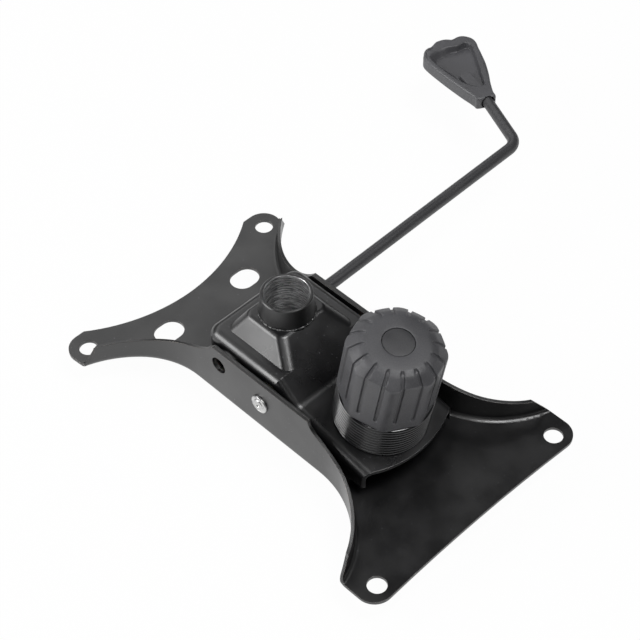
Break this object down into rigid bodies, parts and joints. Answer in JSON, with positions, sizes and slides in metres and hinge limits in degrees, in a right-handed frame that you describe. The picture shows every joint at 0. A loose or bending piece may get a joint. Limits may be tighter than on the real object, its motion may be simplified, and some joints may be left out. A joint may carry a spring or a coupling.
{
  "type": "office chair tilt mechanism",
  "caption": "Pressed steel seat plate on a sprung tilting housing with gas lift socket, ribbed tension knob and cranked release lever.",
  "frame": {"origin": "on the seat face of the seat plate, straight under the axis of the gas lift socket", "axes": "+Z along the gas lift socket out of its mouth, so the part lies on its seat face as pictured; +X toward the front of the chair and the tension knob; +Y toward the release lever"},
  "size_m": [0.2889, 0.379, 0.1045],
  "materials": {
    "black_paint": "satin black powder coat",
    "housing_paint": "semigloss black paint",
    "socket_steel": "black outside, bare turned bore",
    "rod_paint": "satin black paint",
    "zinc": "zinc plated",
    "spring_steel": "oiled spring steel",
    "nylon": "natural nylon",
    "pad_rubber": "black rubber",
    "boot_plastic": "smooth black plastic",
    "knob_plastic": "fine grained black plastic",
    "handle_plastic": "matte black plastic"
  },
  "bodies": {
    "seat_frame": {"seat_plate": "black_paint", "flange_doubler_left": "black_paint", "flange_doubler_right": "black_paint", "tilt_pin": "zinc", "bolt_anchor": "black_paint", "rest_pads": "pad_rubber"},
    "base_housing": {"housing": "housing_paint", "gas_lift_socket": "socket_steel", "housing_brace": "housing_paint", "pivot_tube": "zinc", "tilt_bush_left": "nylon", "tilt_bush_right": "nylon", "lever_bush_left": "nylon", "lever_bush_right": "nylon", "spring_seat": "zinc", "spring_boot": "boot_plastic", "tension_spring": "spring_steel"},
    "bolt": {"tension_bolt": "zinc", "bolt_cross_pin": "zinc"},
    "thrust_cup": {"spring_cup": "zinc", "thrust_washer": "nylon"},
    "knob": {"knob_shell": "knob_plastic", "knob_nut": "zinc", "knob_cap": "knob_plastic"},
    "cam": {"release_cam": "zinc"},
    "lever": {"lever_rod": "rod_paint", "lever_clip": "spring_steel", "lever_handle": "handle_plastic"}
  },
  "joints": [
    {"name": "tilt", "type": "hinge", "parent": "seat_frame", "child": "base_housing", "pos_m": [0.021, 0, 0.025], "axis": [0, -1, 0], "range_deg": [0, 10], "stiffness_Nm_per_rad": 60, "springref_deg": -2.86},
    {"name": "bolt_draw", "type": "slide", "parent": "base_housing", "child": "bolt", "axis": [0.1736, 0, 0.9848], "range_m": [-0.0099, 0], "deforming": ["spring_boot", "tension_spring"]},
    {"name": "knob_travel", "type": "slide", "parent": "bolt", "child": "thrust_cup", "axis": [0.1736, 0, 0.9848], "range_m": [-0.0045, 0], "stiffness_N_per_m": 1, "springref_m": 1.117},
    {"name": "knob_spin", "type": "hinge", "parent": "thrust_cup", "child": "knob", "pos_m": [0.0786, 0, 0.0269], "axis": [0.1736, 0, 0.9848], "range_deg": [-1080, 0]},
    {"name": "lever_turn", "type": "hinge", "parent": "base_housing", "child": "cam", "pos_m": [-0.0155, 0, 0.03], "axis": [0, -1, 0], "range_deg": [0, 8], "stiffness_Nm_per_rad": 2, "springref_deg": -3.44},
    {"name": "lever_slide", "type": "slide", "parent": "cam", "child": "lever", "axis": [0, 1, 0], "range_m": [-0.0075, 0]}
  ],
  "couplings": [
    {"joint": "bolt_draw", "follows": "tilt", "m_per_rad": -0.0555},
    {"joint": "knob_travel", "follows": "knob_spin", "m_per_rad": 0.00023873}
  ]
}
